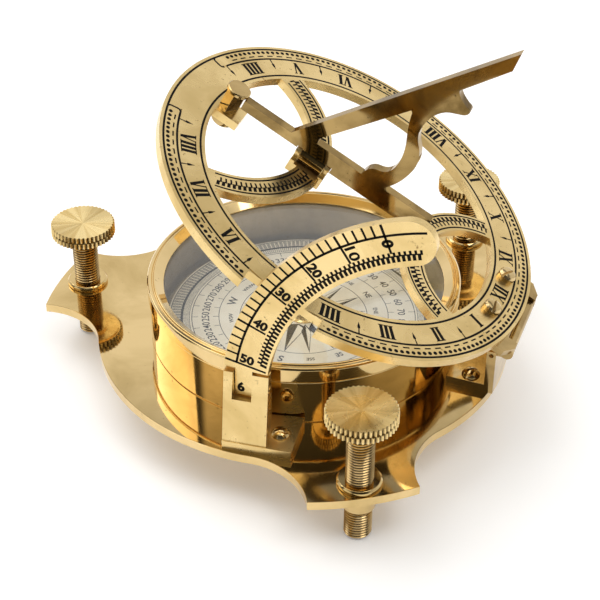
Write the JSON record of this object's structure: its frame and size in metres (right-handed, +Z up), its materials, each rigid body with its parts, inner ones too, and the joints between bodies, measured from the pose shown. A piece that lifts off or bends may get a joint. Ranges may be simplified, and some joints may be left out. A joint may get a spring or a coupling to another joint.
{
  "type": "folding compass sundial",
  "caption": "Brass folding sundial over a glazed compass: three-eared base on levelling screws, hinged hour ring with a folding gnomon, and a folding latitude arc.",
  "frame": {"origin": "middle of the base plate's flat underside, on the compass's axis", "axes": "+Z up along the compass's axis; +X from the middle towards the hour ring's hinge; +Y along the hinge line, away from the latitude arc"},
  "size_m": [0.122, 0.1226, 0.0984],
  "materials": {
    "polished_brass": "mirror polished",
    "satin_brass": "satin, engraved lines filled in black",
    "screw_brass": "turned and polished",
    "dial_paper": "printed in blue-grey",
    "magnet_steel": "ground",
    "gasket_rubber": "matt",
    "window_glass": "clear"
  },
  "bodies": {
    "base": {"base_plate": "polished_brass", "screw_bushes": "polished_brass", "compass_case": "polished_brass", "case_screws": "screw_brass", "pivot_pin": "screw_brass", "glass_gasket": "gasket_rubber", "glass": "window_glass", "bezel": "polished_brass", "latitude_bracket": "polished_brass", "latitude_pin": "screw_brass", "hinge_bracket": "polished_brass", "bracket_screws": "screw_brass", "hinge_pin": "screw_brass"},
    "ring": {"hour_ring": "satin_brass", "hinge_leaf": "polished_brass", "ring_screws": "screw_brass", "gnomon_post": "screw_brass", "post_nut": "screw_brass", "gnomon_pin": "screw_brass"},
    "gnomon": {"gnomon": "polished_brass"},
    "arc": {"latitude_arc": "satin_brass"},
    "card": {"compass_card": "dial_paper", "card_magnet": "magnet_steel", "card_cap": "screw_brass"},
    "rod_left": {"rod_left": "polished_brass"},
    "rod_front": {"rod_front": "polished_brass"},
    "rod_back": {"rod_back": "polished_brass"},
    "knob_left": {"knob_left": "polished_brass"},
    "knob_front": {"knob_front": "polished_brass"},
    "knob_back": {"knob_back": "polished_brass"}
  },
  "joints": [
    {"name": "ring_hinge", "type": "hinge", "parent": "base", "child": "ring", "pos_m": [0.0536, 0, 0.0159], "axis": [0, 1, 0], "range_deg": [-27.7, 57.3]},
    {"name": "gnomon_fold", "type": "hinge", "parent": "ring", "child": "gnomon", "pos_m": [0.00203, 0, 0.05009], "axis": [-0.8854, 0, 0.4648], "range_deg": [0, 90]},
    {"name": "arc_fold", "type": "hinge", "parent": "base", "child": "arc", "pos_m": [0.0031, -0.0452, 0.018], "axis": [1, 0, 0], "range_deg": [0, 90]},
    {"name": "card_pivot", "type": "hinge", "parent": "base", "child": "card", "pos_m": [0, 0, 0.0043], "axis": [0, 0, 1], "continuous": true},
    {"name": "left_slide", "type": "slide", "parent": "base", "child": "rod_left", "axis": [0, 0, 1], "range_m": [-0.004, 0.004]},
    {"name": "front_slide", "type": "slide", "parent": "base", "child": "rod_front", "axis": [0, 0, 1], "range_m": [-0.004, 0.004]},
    {"name": "back_slide", "type": "slide", "parent": "base", "child": "rod_back", "axis": [0, 0, 1], "range_m": [-0.004, 0.004]},
    {"name": "left_turn", "type": "hinge", "parent": "rod_left", "child": "knob_left", "pos_m": [-0.05865, -0.00246, 0.0193], "axis": [0, 0, 1], "range_deg": [-1925, 1925]},
    {"name": "front_turn", "type": "hinge", "parent": "rod_front", "child": "knob_front", "pos_m": [0.03145, -0.04956, 0.0215], "axis": [0, 0, 1], "range_deg": [-1925, 1925]},
    {"name": "back_turn", "type": "hinge", "parent": "rod_back", "child": "knob_back", "pos_m": [0.0272, 0.05202, 0.0193], "axis": [0, 0, 1], "range_deg": [-1925, 1925]}
  ],
  "couplings": [
    {"joint": "left_turn", "follows": "left_slide", "rad_per_m": 8377.6},
    {"joint": "front_turn", "follows": "front_slide", "rad_per_m": 8377.6},
    {"joint": "back_turn", "follows": "back_slide", "rad_per_m": 8377.6}
  ]
}
